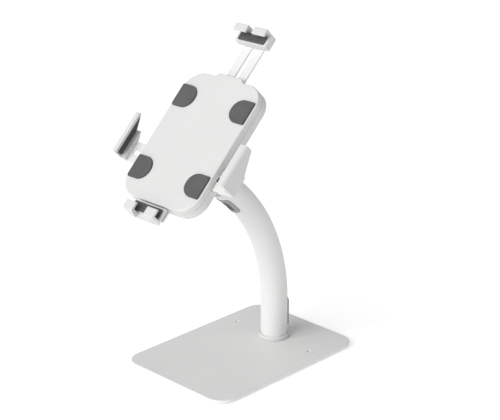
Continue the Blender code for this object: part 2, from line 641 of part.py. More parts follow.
def make_side_arm(holder, name, side):
    """A side arm that slides in and out, with the grip that holds the tablet's long edge."""
    arm = frame(f"{name}_arm_slide", holder)
    low, high = SIDE_ARM_HEIGHT - SIDE_ARM_HALF, SIDE_ARM_HEIGHT + SIDE_ARM_HALF

    def across(corners):
        """Corners of the right arm, taken to this side."""
        return rounded([(side * corner[0], *corner[1:]) for corner in corners], 4)

    end, start, stop = 86.4 * MM, 36 * MM, 77.5 * MM
    below, above = SIDE_ARM_HEIGHT - SLOT_HALF, SIDE_ARM_HEIGHT + SLOT_HALF
    blank = across([(31 * MM, low, 2 * MM), (end, low, 2 * MM), (end, high, 2 * MM), (31 * MM, high, 2 * MM)])
    slot = across([(start, below, SLOT_CORNER), (stop, below, SLOT_CORNER), (stop, above, SLOT_CORNER),
                   (start, above, SLOT_CORNER)])
    strap = piece(f"{name}_strap", panel([blank, slot], STRAP_FRONT, STRAP_REAR), arm, "white_steel")

    wall, outer, lip = 86 * MM, 88 * MM, 79.2 * MM
    section = across([
        (lip, -LIP_REAR), (lip, -LIP_FRONT, 0.8 * MM), (outer, -LIP_FRONT, 5 * MM),
        (outer, -21.5 * MM, 0.8 * MM), (86.8 * MM, -21.5 * MM), (86.8 * MM, -COVER_SPLIT),
        (79 * MM, -COVER_SPLIT), (79 * MM, -13.7 * MM), (wall, -13.7 * MM), (wall, -LIP_REAR)])
    grip = piece(f"{name}_grip", end_slab([section], -70 * MM, -10 * MM), arm, "white_plastic")
    side_view = rounded([
        (-65 * MM, 3.5 * MM, 1.5 * MM), (-14 * MM, 3.5 * MM, 2.5 * MM), (-14 * MM, -7.5 * MM, 2 * MM),
        (-40 * MM, -18.4 * MM, 4 * MM), (-42 * MM, -22 * MM, 2 * MM), (-65 * MM, -22 * MM, 2 * MM)], 4)
    combine(grip, cutter(side_slab([side_view], -95 * MM, 95 * MM), arm), "INTERSECT")

    liner = rounded([(-63 * MM, -0.9 * MM, MM), (-16.5 * MM, -0.9 * MM, MM), (-16.5 * MM, -6.8 * MM, 2 * MM),
                     (-31 * MM, -12.6 * MM, 2 * MM), (-63 * MM, -12.6 * MM, MM)], 3)
    left, right = sorted((side * (TABLET_HALF + 0.15 * MM), side * (wall - GAP)))
    piece(f"{name}_liner", side_slab([liner], left, right), arm, "pad_rubber")
    for row, height in (("upper", -45.5 * MM), ("lower", -60.5 * MM)):
        spot = (side * 82.4 * MM, height, -STRAP_REAR - GAP - CLIP_SCREW.height)
        add_screw(f"{name}_grip_screw_{row}", CLIP_SCREW, arm, spot, REARWARD, (strap, grip))


def make_holder(tilt):
    turning = frame("turn_axis", tilt, (0, 0, PIVOT_DEPTH))
    holder = frame("tablet_centre", turning, (0, AXIS_BELOW, 0))
    front_cover = make_front_cover(holder)
    rear_cover = make_rear_cover(holder)
    bracket = make_bottom_cradle(holder)
    make_top_arm(holder)
    for name, side in SIDES.items():
        make_side_arm(holder, name, side)
    make_lock(holder, rear_cover)
    for number, (x, y) in enumerate(HOUSING_SCREWS):
        add_screw(f"housing_screw_{number + 1}", HOUSING_SCREW, holder, (x, y, -COVER_REAR + GAP), REARWARD,
                  (rear_cover, front_cover))
    head = -STRAP_REAR - GAP - GUIDE_SCREW.height
    for name, (x, y) in GUIDE_SCREWS.items():
        add_screw(f"guide_screw_{name}", GUIDE_SCREW, holder, (x, y, head), REARWARD, (front_cover,))
    for name, (x, y) in BRACKET_SCREWS.items():
        add_screw(f"bottom_bracket_screw_{name}", GUIDE_SCREW, holder, (x, y, head), REARWARD,
                  (front_cover, bracket))


def new_collection(name):
    collection = bpy.data.collections.new(name)
    bpy.context.scene.collection.children.link(collection)
    return collection


for leftover in list(bpy.data.objects):
    bpy.data.objects.remove(leftover)
stand = new_collection("tablet_stand")
frames = new_collection("frames")
cutters = new_collection("cutters")

make_base()
arm_tube = make_arm()
arm_end_frame = frame("arm_end", None, arm_point(BEND_END), BEND_END)
make_head(arm_tube, arm_end_frame)
tilt_axis = frame("tilt_axis", None, arm_point(BEND_END) + END_DIRECTION * PIVOT_REACH, TILT_REST)
make_tilt_bracket(tilt_axis)
make_holder(tilt_axis)
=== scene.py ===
"""Looks of the tablet stand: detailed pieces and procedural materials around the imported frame.

Lengths are in metres. Shapes of the holder are given from the centre of the tablet's front face: x across the
face, y up the face and z out of it, so what lies behind the face has a negative z.
"""

import json
import math

import bmesh
import bpy
from mathutils import Matrix, Vector
from mathutils.geometry import tessellate_polygon


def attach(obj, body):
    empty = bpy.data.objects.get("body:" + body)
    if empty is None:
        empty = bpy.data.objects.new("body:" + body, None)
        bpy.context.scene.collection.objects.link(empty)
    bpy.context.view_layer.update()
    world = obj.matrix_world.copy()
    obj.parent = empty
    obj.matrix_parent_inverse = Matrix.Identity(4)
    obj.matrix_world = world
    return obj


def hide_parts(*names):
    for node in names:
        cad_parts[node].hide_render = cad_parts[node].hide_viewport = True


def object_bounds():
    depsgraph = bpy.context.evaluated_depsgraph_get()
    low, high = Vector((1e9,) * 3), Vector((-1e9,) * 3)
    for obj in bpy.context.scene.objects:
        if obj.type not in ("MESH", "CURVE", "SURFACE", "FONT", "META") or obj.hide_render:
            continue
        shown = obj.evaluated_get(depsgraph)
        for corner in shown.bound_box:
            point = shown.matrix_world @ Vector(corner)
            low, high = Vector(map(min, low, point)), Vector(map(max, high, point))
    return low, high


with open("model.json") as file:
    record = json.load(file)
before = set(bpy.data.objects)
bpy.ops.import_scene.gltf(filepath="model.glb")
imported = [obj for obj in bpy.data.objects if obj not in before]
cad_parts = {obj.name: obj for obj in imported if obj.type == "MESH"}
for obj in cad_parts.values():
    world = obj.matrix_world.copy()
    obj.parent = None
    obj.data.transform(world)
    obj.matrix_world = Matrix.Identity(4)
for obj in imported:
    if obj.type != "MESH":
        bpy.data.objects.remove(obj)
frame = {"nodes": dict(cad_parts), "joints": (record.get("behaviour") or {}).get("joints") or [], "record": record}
cad_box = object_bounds()

MM = 0.001
GAP = 0.3 * MM
JOINTS = {joint["name"]: joint for joint in frame["joints"]}
BODY_OF = {node: body for body, nodes in frame["record"]["behaviour"]["bodies"].items() for node in nodes}
SLOT_OF = {row["node"]: row["material_slot"] for row in frame["record"]["subparts"]}
SIDES = {"left": -1, "right": 1}

# Base: corner radius, rounding of its lower and upper edges, and the two anchor holes
BASE_CORNER, BASE_EDGES = 21 * MM, (0.6 * MM, 0.8 * MM)
ANCHOR_X, ANCHOR_Y, ANCHOR_DEPTH = 59.7 * MM, -3.2 * MM, 8 * MM
ANCHOR_RADIUS, ANCHOR_SINK_RADIUS, ANCHOR_SINK = 2.3 * MM, 2.7 * MM, 0.4 * MM

# Tube: a straight foot, then one arc that leans forward
BEND_START, BEND_RADIUS, BEND_ANGLE = 54.7 * MM, 202.6 * MM, math.radians(54)
TUBE_WALL = 2 * MM
END_DIRECTION = Vector((0, -math.sin(BEND_ANGLE), math.cos(BEND_ANGLE)))
PIVOT_REACH = 30 * MM

# Cable ports: height or angle on the tube, length, width and how far they stand off the tube
REAR_PORT_HEIGHT, REAR_PORT = 34.8 * MM, (35.6 * MM, 20.5 * MM, 2.4 * MM)
ARM_PORT_ANGLE, ARM_PORT = math.radians(47.6), (30 * MM, 20.5 * MM, 0.9 * MM)
PORT_CORNER, PORT_SLOT_CORNER = 4.5 * MM, 2.2 * MM
PORT_NECK_INSET, PORT_SLOT_INSET, PORT_DEPTH = 2.7 * MM, 4.7 * MM, 7 * MM

# Hinge at the tube's end: cap, ears of the fork, bolt, nut and grub screw
CAP_LENGTH, EAR_INNER, EAR_FOOT, EAR_FOOT_HEIGHT = 3.5 * MM, 8.2 * MM, 12.5 * MM, 1.5 * MM
EAR_TIP, HINGE_BORE = 11.5 * MM, 4.3 * MM
BOLT_HEAD, BOLT_HEAD_HEIGHT, BOLT_SHANK, BOLT_SOCKET = 7 * MM, 4.7 * MM, 2.5 * MM, 3.1 * MM
NUT_CORNER, NUT_BORE, NUT_CROWN = 7.5 * MM, 2.9 * MM, 0.87
GRUB_RADIUS, GRUB_LENGTH, GRUB_HOLE, GRUB_HOLE_DEPTH = 1.9 * MM, 4.2 * MM, 2.3 * MM, 9 * MM
NEARLY_ROUND = 0.98  # share of a half width that a corner's arc takes, so that a short flat stays between two

# Tilt bracket: its flange's depths behind the tablet's face, its radii, and the web round the bolt
FLANGE_FRONT, FLANGE_REAR, FLANGE_RADIUS, SPINDLE_RADIUS = 30.6 * MM, 34.6 * MM, 27 * MM, 13.7 * MM
WEB_HALF, WEB_FOOT, WEB_BARREL, CENTRE_HOLE = 6.6 * MM, 17 * MM, 10.8 * MM, 3.3 * MM

# Holder: where its turning axis and each layer lie
AXIS_BELOW, PIVOT_DEPTH = 38.4 * MM, 58.9 * MM
COVER_WALL, COVER_FLOOR, COVER_CORNER = 2.2 * MM, 2.5 * MM, 25 * MM
TABLET_TOP = 120 * MM
LIP_REAR, REST_FRONT, COVER_SPLIT = 0.3 * MM, 8.7 * MM, 17.7 * MM
MOUTH_FOOT, MOUTH_TOP, PAD_CORNER = 21.5 * MM, 17.5 * MM, 2 * MM
SPINDLE_HOLE, SPINDLE_RIM = 14 * MM, 22 * MM
WELL_RADIUS, WELL_MOUTH, WELL_DEPTH = 3.5 * MM, 4.1 * MM, 2.2 * MM
STRAP_SLOT_HALF, STRAP_CORNER = 2.75 * MM, 2 * MM
NOTCH_ROOM, STRAP_ROOM = 0.5 * MM, 0.4 * MM

# Lock on the rear cover
LOCK_HEIGHT, LOCK_HOLE, LOCK_BARREL, LOCK_BORE, LOCK_RING = 24 * MM, 8.3 * MM, 8 * MM, 5.6 * MM, 1.7 * MM
KEY_HALF_WIDTH, KEY_HALF_LENGTH, KEY_DEPTH = 0.7 * MM, 3.2 * MM, 5 * MM

# Clips and grips, from the centre of the tablet's front face
LINER_GAP, TOP_LIP, BOTTOM_LIP, HOOK_LENGTH = 0.3 * MM, 113.2 * MM, 112.2 * MM, 14.5 * MM
TOP_SLOT_END, SIDE_SLOT_START, SIDE_SLOT_END = 106 * MM, 5 * MM, 77.5 * MM
TOP_GAP_HALF, PLUG_GAP_HALF = 4.65 * MM, 9 * MM
CRADLE_WALL, CRADLE_BULGE, CRADLE_REAR_HALF = 3 * MM, 2.5 * MM, 18.8 * MM
CHIN_HALF, CHIN_LOW, CHIN_EDGE = 11 * MM, -127 * MM, -122.5 * MM
GRIP_LIP, GRIP_WALL, GRIP_OUTER = 79.2 * MM, 86 * MM, 88 * MM
GRIP_FOOT_OUTER, GRIP_FOOT_INNER = 86.8 * MM, 79 * MM
GRIP_REAR, GRIP_SHELF, GRIP_FRONT = -21.5 * MM, -13.7 * MM, 3.5 * MM
CLIP_EDGE = 0.5 * MM
SIDE_ARM_HEIGHT = -53 * MM
ARC_ROOM = 0.05 * MM  # what a fine arc would stand out of the CAD's coarser one

# Camera: its place, its azimuth, elevation and roll in degrees, and its focal length in mm
CAMERA_PLACE, CAMERA_ANGLES, CAMERA_LENS = (1.1408, -1.1946, 0.7884), (44.663, 20.635, -0.174), 108.93

# Light and floor. The floor lies just under the part, so that the two don't share a plane
KEY_DIRECTION, KEY_STRENGTH, KEY_SPREAD = (-0.07, -0.87, 0.5), 2.25, math.radians(50)
WORLD_LIGHT, FLOOR_GLOW = 0.49, 0.36
FLOOR_HALF, FLOOR_DROP = 8, 0.2 * MM


# ---- places


def axes(origin, x, y, z):
    matrix = Matrix((x, y, z)).transposed().to_4x4()
    matrix.translation = origin
    return matrix


WORLD = Matrix.Identity(4)
RIGHT = Vector((1, 0, 0))
PIVOT = Vector(JOINTS["tilt"]["pos_m"])
FACE_UP = Vector(JOINTS["top_arm_slide"]["axis"])
FACE_OUT = Vector(JOINTS["turn"]["axis"])
TILTING = axes(PIVOT, RIGHT, FACE_UP, FACE_OUT)
HOLDER = axes(PIVOT + FACE_UP * AXIS_BELOW + FACE_OUT * PIVOT_DEPTH, RIGHT, FACE_UP, FACE_OUT)
ARM_END = axes(PIVOT - END_DIRECTION * PIVOT_REACH, RIGHT, END_DIRECTION.cross(RIGHT), END_DIRECTION)
REARWARD = Matrix.Rotation(math.pi, 4, "X")


def span(node, place=WORLD):
    """Lowest and highest corner of a CAD node along the axes of a place."""
    inverse = place.inverted()
    points = [inverse @ vertex.co for vertex in frame["nodes"][node].data.vertices]
    low = Vector([min(point[axis] for point in points) for axis in range(3)])
    high = Vector([max(point[axis] for point in points) for axis in range(3)])
    return low, high


def bend_point(angle, out=0.0):
    """A point of the arm by its angle along the bend, out from the centreline on the convex side."""
    radius = BEND_RADIUS + out
    return Vector((0, radius * math.cos(angle) - BEND_RADIUS, BEND_START + radius * math.sin(angle)))


# ---- outlines, as lists of 2D vectors that run anticlockwise


def rounded(corners, steps=10):
    """The outline through (x, y) or (x, y, radius) corners, each radius an arc of so many steps."""
    points = []
    for index, corner in enumerate(corners):
        here = Vector(corner[:2])
        radius = corner[2] if len(corner) > 2 else 0
        if not radius:
            points.append(here)
            continue
        back = (Vector(corners[index - 1][:2]) - here).normalized()
        ahead = (Vector(corners[(index + 1) % len(corners)][:2]) - here).normalized()
        half = back.angle(ahead) / 2
        centre = here + (back + ahead).normalized() * radius / math.sin(half)
        first = here + back * radius / math.tan(half) - centre
        last = here + ahead * radius / math.tan(half) - centre
        start = math.atan2(first.y, first.x)
        turn = (math.atan2(last.y, last.x) - start + math.pi) % math.tau - math.pi
        for step in range(steps + 1):
            angle = start + turn * step / steps
            points.append(centre + Vector((math.cos(angle), math.sin(angle))) * radius)
    points = [here for index, here in enumerate(points) if (here - points[index - 1]).length > 1e-6]
    twice_area = sum(points[i - 1].cross(points[i]) for i in range(len(points)))
    return points if twice_area > 0 else points[::-1]


def rectangle(left, bottom, right, top, radius=0, steps=10):
    corners = ((left, bottom), (right, bottom), (right, top), (left, top))
    return rounded([(x, y, radius) for x, y in corners], steps)


def circle(x, y, radius, sides=48):
    turns = [math.tau * step / sides for step in range(sides)]
    return [Vector((x + radius * math.cos(turn), y + radius * math.sin(turn))) for turn in turns]


def mirrored(corners):
    """Corners of a right half, from its bottom up, followed by their mirror images on the left."""
    return corners + [(-corner[0], *corner[1:]) for corner in reversed(corners)]


def inset(loop, distance):
    """The anticlockwise loop made smaller by so much all round."""
    moved = []
    for index, here in enumerate(loop):
        before = (here - loop[index - 1]).normalized()
        after = (loop[(index + 1) % len(loop)] - here).normalized()
        inward = Vector((-before.y - after.y, before.x + after.x)).normalized()
        share = max(inward.dot(Vector((-before.y, before.x))), 0.3)
        moved.append(here + inward * distance / share)
    return moved


# ---- meshes


def finished(work):
    """The mesh of a bmesh, with its faces pointing out."""
    bmesh.ops.remove_doubles(work, verts=work.verts, dist=1e-7)
    bmesh.ops.recalc_face_normals(work, faces=work.faces)
    mesh = bpy.data.meshes.new("shape")
    work.to_mesh(mesh)
    work.free()
    return mesh


def join_rings(work, rings, closed=False):
    """Quads between rings of 3D points, each ring a closed loop. Returns the rings' vertices."""
    made = [[work.verts.new(point) for point in ring] for ring in rings]
    pairs = list(zip(made, made[1:])) + ([(made[-1], made[0])] if closed else [])
    for low, high in pairs:
        for index in range(len(low)):
            work.faces.new((low[index - 1], low[index], high[index], high[index - 1]))
    return made


def skin(rings, closed=False):
    """A solid through rings of points, with flat caps on its two ends unless it closes on itself."""
    work = bmesh.new()
    made = join_rings(work, rings, closed)
    if not closed:
        work.faces.new(made[0])
        work.faces.new(made[-1])
    return finished(work)


def slab(loops, low, high, rim=(0, 0), steps=5):
    """A flat solid from z = low to high. Loops after the first are holes. rim rounds both edges."""
    levels = [(rim[0] * (1 - math.sin(math.pi / 2 * step / steps)),
               low + rim[0] * (1 - math.cos(math.pi / 2 * step / steps))) for step in range(steps + 1)]
    levels += [(rim[1] * (1 - math.cos(math.pi / 2 * step / steps)),
                high - rim[1] * (1 - math.sin(math.pi / 2 * step / steps))) for step in range(steps + 1)]
    levels = [level for index, level in enumerate(levels) if not index or level != levels[index - 1]]
    work = bmesh.new()
    ends = ([], [])
    for number, loop in enumerate(loops):
        way = -1 if number else 1
        made = join_rings(work, [[(*point, z) for point in inset(loop, way * shift)] for shift, z in levels])
        for end, ring in zip(ends, (made[0], made[-1])):
            end.append(ring)
    for rings in ends:
        if len(loops) == 1:
            work.faces.new(rings[0])
            continue
        vertices = [vertex for ring in rings for vertex in ring]
        flat = [[vertex.co for vertex in ring] for ring in rings]
        for three in tessellate_polygon(flat):
            work.faces.new([vertices[corner] for corner in three])
    return finished(work)


def side_slab(loops, left, right, rim=(0, 0), steps=5):
    """A flat solid whose outline is given in (y, z), from x = left to right."""
    mesh = slab(loops, left, right, rim, steps)
    mesh.transform(Matrix(((0, 0, 1, 0), (1, 0, 0, 0), (0, 1, 0, 0), (0, 0, 0, 1))))
    return mesh


def end_slab(loops, bottom, top, rim=(0, 0), steps=5):
    """A flat solid whose outline is given in (x, z), from y = bottom to top."""
    mesh = slab(loops, -top, -bottom, rim, steps)
    mesh.transform(Matrix(((1, 0, 0, 0), (0, 0, -1, 0), (0, 1, 0, 0), (0, 0, 0, 1))))
    return mesh


def turned(profile, sides=96, closed=False):
    """A solid of revolution about z. A profile that isn't closed starts and ends on the axis."""
    turns = [(math.cos(math.tau * step / sides), math.sin(math.tau * step / sides)) for step in range(sides)]
    middle = profile if closed else profile[1:-1]
    work = bmesh.new()
    made = join_rings(work, [[(r * c, r * s, z) for c, s in turns] for r, z in middle], closed)
    if not closed:
        for ring, (_, z) in ((made[0], profile[0]), (made[-1], profile[-1])):
            tip = work.verts.new((0, 0, z))
            for index in range(sides):
                work.faces.new((ring[index - 1], ring[index], tip))
    return finished(work)


def eased(corners, steps=5):
    """A (radius, z) profile with arcs at the corners that have a third number, as in rounded, but open."""
    points = []
    for index, corner in enumerate(corners):
        if len(corner) < 3:
            points.append(corner)
            continue
        three = [corners[index - 1][:2], corner, corners[(index + 1) % len(corners)][:2]]
        before, after = Vector(three[0]), Vector(three[2])
        arc = [point for point in rounded(three, steps)
               if min((point - before).length, (point - after).length) > 1e-7]
        if (arc[0] - before).length > (arc[-1] - before).length:
            arc = arc[::-1]
        points += [tuple(point) for point in arc]
    return points


def temporary(mesh):
    thing = bpy.data.objects.new("temporary", mesh)
    bpy.context.scene.collection.objects.link(thing)
    return thing


def evaluated(thing):
    """The mesh of an object with its modifiers, without the object."""
    graph = bpy.context.evaluated_depsgraph_get()
    mesh = bpy.data.meshes.new_from_object(thing.evaluated_get(graph))
    bpy.data.objects.remove(thing)
    return mesh


def combine(mesh, *tools, operation="DIFFERENCE"):
    """The mesh with each tool mesh cut from it, joined to it, or taken as its bounds."""
    thing = temporary(mesh)
    others = [temporary(tool) for tool in tools]
    for other in others:
        step = thing.modifiers.new("step", "BOOLEAN")
        step.operation = operation
        step.solver = "EXACT"
        step.object = other
    made = evaluated(thing)
    for other in others:
        bpy.data.objects.remove(other)
    return made


def union(mesh, *tools):
    return combine(mesh, *tools, operation="UNION")


def softened(mesh, width, segments=4, angle=35):
    """The mesh with its sharp edges rounded."""
    thing = temporary(mesh)
    step = thing.modifiers.new("round", "BEVEL")
    step.width = width
    step.segments = segments
    step.limit_method = "ANGLE"
    step.angle_limit = math.radians(angle)
    step.miter_outer = "MITER_ARC"
    return evaluated(thing)


# ---- pieces


def put(name, mesh, place, node, sharp=32):
    """Puts a detailed piece in place of its CAD node, on that node's body and with its slot's finish."""
    mesh.shade_smooth()
    mesh.set_sharp_from_angle(angle=math.radians(sharp))
    mesh.transform(place)
    thing = bpy.data.objects.new(name, mesh)
    bpy.context.scene.collection.objects.link(thing)
    mesh.materials.clear()
    mesh.materials.append(finish_of(node))
    weighted = thing.modifiers.new("flat_faces_stay_flat", "WEIGHTED_NORMAL")
    weighted.keep_sharp = True
    weighted.weight = 80
    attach(thing, BODY_OF[node])
    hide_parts(node)
    return thing


# ---- materials


def node_of(tree, kind, **values):
    node = tree.nodes.new(kind)
    for name, value in values.items():
        setattr(node, name, value)
    return node


def noise(tree, coordinates, scale, detail=3.0, rough=0.5, stretch=None):
    """A noise texture in object space. scale is how many features fit in a metre."""
    source = coordinates.outputs["Object"]
    if stretch:
        mapping = node_of(tree, "ShaderNodeMapping")
        mapping.inputs["Scale"].default_value = stretch
        tree.links.new(source, mapping.inputs["Vector"])
        source = mapping.outputs["Vector"]
    texture = node_of(tree, "ShaderNodeTexNoise")
    texture.inputs["Scale"].default_value = scale
    texture.inputs["Detail"].default_value = detail
    texture.inputs["Roughness"].default_value = rough
    tree.links.new(source, texture.inputs["Vector"])
    return texture.outputs["Fac"]


def ramp(tree, source, low, high, start=0.3, end=0.7):
    """Maps a texture's value between two greys or numbers."""
    node = node_of(tree, "ShaderNodeMapRange")
    node.inputs["From Min"].default_value = start
    node.inputs["From Max"].default_value = end
    node.inputs["To Min"].default_value = low
    node.inputs["To Max"].default_value = high
    tree.links.new(source, node.inputs["Value"])
    return node.outputs["Result"]


def tint(tree, source, dark, light):
    """Mixes two colours by a texture's value."""
    node = node_of(tree, "ShaderNodeMix", data_type="RGBA")
    node.inputs["A"].default_value = (*dark, 1)
    node.inputs["B"].default_value = (*light, 1)
    tree.links.new(source, node.inputs["Factor"])
    return node.outputs["Result"]


def bump(tree, source, strength, depth, under=None):
    node = node_of(tree, "ShaderNodeBump")
    node.inputs["Strength"].default_value = strength
    node.inputs["Distance"].default_value = depth
    tree.links.new(source, node.inputs["Height"])
    if under:
        tree.links.new(under, node.inputs["Normal"])
    return node.outputs["Normal"]


def finish(name, dark, light, rough, metallic=0.0, grains=((900, 0.3, 0.03),), cloud=30, stretch=None,
           specular=0.5):
    """A material whose colour and roughness drift, and whose bump has grains of (per metre, strength, mm)."""
    material = bpy.data.materials.new(name)
    material.use_nodes = True
    tree = material.node_tree
    shader = tree.nodes["Principled BSDF"]
    shader.inputs["Metallic"].default_value = metallic
    shader.inputs["Specular IOR Level"].default_value = specular
    where = node_of(tree, "ShaderNodeTexCoord")
    clouds = noise(tree, where, cloud, 4.0, 0.6, stretch)
    tree.links.new(tint(tree, ramp(tree, clouds, 0, 1), dark, light), shader.inputs["Base Color"])
    smears = noise(tree, where, cloud * 6, 3.0, 0.55, stretch)
    tree.links.new(ramp(tree, smears, *rough), shader.inputs["Roughness"])
    normal = None
    for per_metre, strength, depth in grains:
        grain = noise(tree, where, per_metre, 2.0, 0.5, stretch)
        normal = bump(tree, grain, strength, depth * MM, normal)
    tree.links.new(normal, shader.inputs["Normal"])
    return material


def grey(value):
    return (value, value, value * 0.992)


FINISHES = {
    "powder_coated_steel": finish("powder_coat", grey(0.74), grey(0.765), (0.42, 0.52),
                                  grains=((260, 0.15, 0.05), (1100, 0.25, 0.03)), cloud=14),
    "white_plastic": finish("white_plastic", grey(0.64), grey(0.665), (0.46, 0.56),
                            grains=((1600, 0.25, 0.02),), cloud=20),
    "port_plastic": finish("port_plastic", grey(0.29), grey(0.34), (0.45, 0.6),
                           grains=((1500, 0.3, 0.02),), cloud=60),
    "pad_rubber": finish("pad_rubber", grey(0.085), grey(0.11), (0.72, 0.86),
                         grains=((700, 0.35, 0.05), (2400, 0.4, 0.02)), cloud=45, specular=0.35),
    "black_rubber": finish("black_rubber", grey(0.02), grey(0.032), (0.78, 0.92),
                           grains=((900, 0.5, 0.06),), cloud=40, specular=0.3),
    "zinc_steel": finish("zinc_plate", (0.56, 0.57, 0.58), (0.66, 0.67, 0.68), (0.26, 0.42), metallic=1.0,
                         grains=((1400, 0.15, 0.02),), cloud=160),
    "lock_metal": finish("lock_chrome", (0.70, 0.70, 0.71), (0.78, 0.78, 0.79), (0.12, 0.26), metallic=1.0,
                         grains=((1800, 0.12, 0.01),), cloud=220, stretch=(1, 12, 1)),
}


def finish_of(node):
    return FINISHES[SLOT_OF[node]]


# ---- camera, light and floor


def make_camera():
    """The camera looks from the front right, from a little above."""
    azimuth, elevation, roll = (math.radians(angle) for angle in CAMERA_ANGLES)
    right = Vector((math.cos(azimuth), math.sin(azimuth), 0))
    back = Vector((math.sin(azimuth) * math.cos(elevation), -math.cos(azimuth) * math.cos(elevation),
                   math.sin(elevation)))
    up = back.cross(right)
    level_right = math.cos(roll) * right + math.sin(roll) * up
    level_up = math.cos(roll) * up - math.sin(roll) * right
    camera = bpy.data.objects.new("camera", bpy.data.cameras.new("camera"))
    bpy.context.scene.collection.objects.link(camera)
    camera.matrix_world = axes(CAMERA_PLACE, level_right, level_up, back)
    camera.data.lens = CAMERA_LENS
    camera.data.sensor_width = 36
    camera.data.clip_start = 0.01
    bpy.context.scene.camera = camera


def add_sun(name, direction, strength, spread):
    """A broad soft light from a direction, as from a large panel. spread is the angle that it fills."""
    light = bpy.data.lights.new(name, "SUN")
    light.energy = strength
    light.angle = spread
    thing = bpy.data.objects.new(name, light)
    bpy.context.scene.collection.objects.link(thing)
    thing.rotation_euler = Vector(direction).to_track_quat("Z", "Y").to_euler()


def make_studio():
    """A broad soft key from the front, a white world and a pale floor that glows a little."""
    bpy.context.scene.view_settings.view_transform = "Standard"
    world = bpy.data.worlds.new("studio")
    bpy.context.scene.world = world
    world.use_nodes = True
    background = world.node_tree.nodes["Background"]
    background.inputs["Color"].default_value = (1, 1, 1, 1)
    background.inputs["Strength"].default_value = WORLD_LIGHT
    add_sun("key", KEY_DIRECTION, KEY_STRENGTH, KEY_SPREAD)

    work = bmesh.new()
    bmesh.ops.create_grid(work, x_segments=1, y_segments=1, size=FLOOR_HALF)
    mesh = bpy.data.meshes.new("floor")
    work.to_mesh(mesh)
    work.free()
    floor = bpy.data.objects.new("floor", mesh)
    bpy.context.scene.collection.objects.link(floor)
    floor.location.z = cad_box[0][2] - FLOOR_DROP
    material = bpy.data.materials.new("floor")
    material.use_nodes = True
    shader = material.node_tree.nodes["Principled BSDF"]
    shader.inputs["Base Color"].default_value = (0.9, 0.9, 0.9, 1)
    shader.inputs["Roughness"].default_value = 0.9
    shader.inputs["Specular IOR Level"].default_value = 0.1
    shader.inputs["Emission Color"].default_value = (1, 1, 1, 1)
    shader.inputs["Emission Strength"].default_value = FLOOR_GLOW
    mesh.materials.append(material)


# ---- base and arm


def make_base():
    """The base plate with its anchor holes, and the collar round the foot of the tube."""
    low, high = span("base_plate")
    plate = slab([rectangle(low.x, low.y, high.x, high.y, BASE_CORNER, 24)], low.z, high.z, BASE_EDGES, 6)
    holes = []
    for x in (-ANCHOR_X, ANCHOR_X):
        hole = turned([(0, MM), (ANCHOR_SINK_RADIUS, MM), (ANCHOR_SINK_RADIUS, 0),
                       (ANCHOR_RADIUS, -ANCHOR_SINK), (ANCHOR_RADIUS, -ANCHOR_DEPTH), (0, -ANCHOR_DEPTH)], 48)
        hole.transform(Matrix.Translation((x, ANCHOR_Y, high.z)))
        holes.append(hole)
    put("plate", combine(plate, *holes), WORLD, "base_plate")

    low, high = span("base_collar")
    radius, bore = high.x, span("arm_tube")[1].x + GAP
    ring = rounded([(bore, low.z, 0.2 * MM), (radius, low.z, 0.3 * MM), (radius, high.z, 1.5 * MM),
                    (bore, high.z, 0.3 * MM)], 8)
    put("collar", turned([tuple(point) for point in ring], 128, closed=True), WORLD, "base_collar")


def port_rings(size, section, wrap):
    """Rings of a cable port: its outline at each (inset, height) of the section, laid on the tube by wrap."""
    length, width, _ = size
    arc_steps, side_steps = 8, 14
    rings = []
    for shift, height in section:
        x, y = width / 2 - shift, length / 2 - shift
        outline = rectangle(-x, -y, x, y, max(PORT_CORNER - shift, PORT_SLOT_CORNER), arc_steps)
        ring = []
        for index, here in enumerate(outline):
            parts = 1 if index % (arc_steps + 1) else side_steps
            start = outline[index - 1]
            ring += [start + (here - start) * step / parts for step in range(1, parts + 1)]
        rings.append([wrap(point.x, point.y, height) for point in ring])
    return rings


def port_section(proud):
    """The closed section of a port as (inset, height): flange, rounded mouth, slot wall and neck."""
    neck, slot = PORT_NECK_INSET, PORT_SLOT_INSET
    lip = min(0.7 * MM, proud - GAP - 0.1 * MM)
    return [tuple(point) for point in rounded([
        (0, GAP), (0, proud, lip), (slot, proud, 0.6 * MM), (slot, -PORT_DEPTH, 0.4 * MM),
        (neck, -PORT_DEPTH, 0.4 * MM), (neck, GAP)], 5)]


